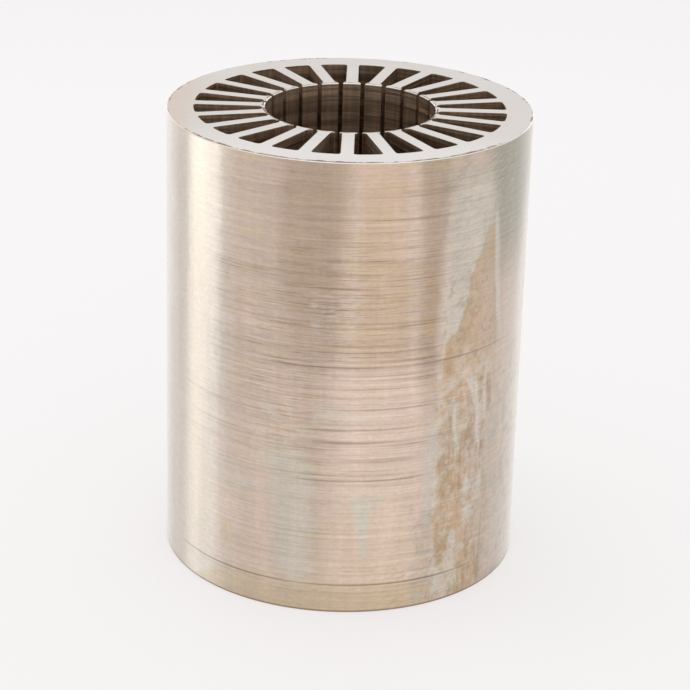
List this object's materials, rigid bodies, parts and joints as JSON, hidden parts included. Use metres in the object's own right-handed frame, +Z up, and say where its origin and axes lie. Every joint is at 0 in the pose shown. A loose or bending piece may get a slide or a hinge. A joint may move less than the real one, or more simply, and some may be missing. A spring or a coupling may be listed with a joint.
{
  "type": "stator lamination stack",
  "caption": "Bonded, ground stack of punched electrical steel sheets for a small motor's stator, with a bore and a ring of semi-closed winding slots.",
  "frame": {"origin": "centre of the bottom face, on the bore's axis", "axes": "+Z up along the bore; +X along the middle of slot 1"},
  "size_m": [0.12, 0.12, 0.1545],
  "materials": {
    "end_sheet_steel": "bare electrical steel sheet, lapped bright and matt",
    "ground_lamination_steel": "ground sheet edges with fine rings, tan oil and rust stains"
  },
  "bodies": {
    "root": {"bottom_end_lamination": "end_sheet_steel", "lamination_core": "ground_lamination_steel", "top_end_lamination": "end_sheet_steel"}
  },
  "joints": []
}
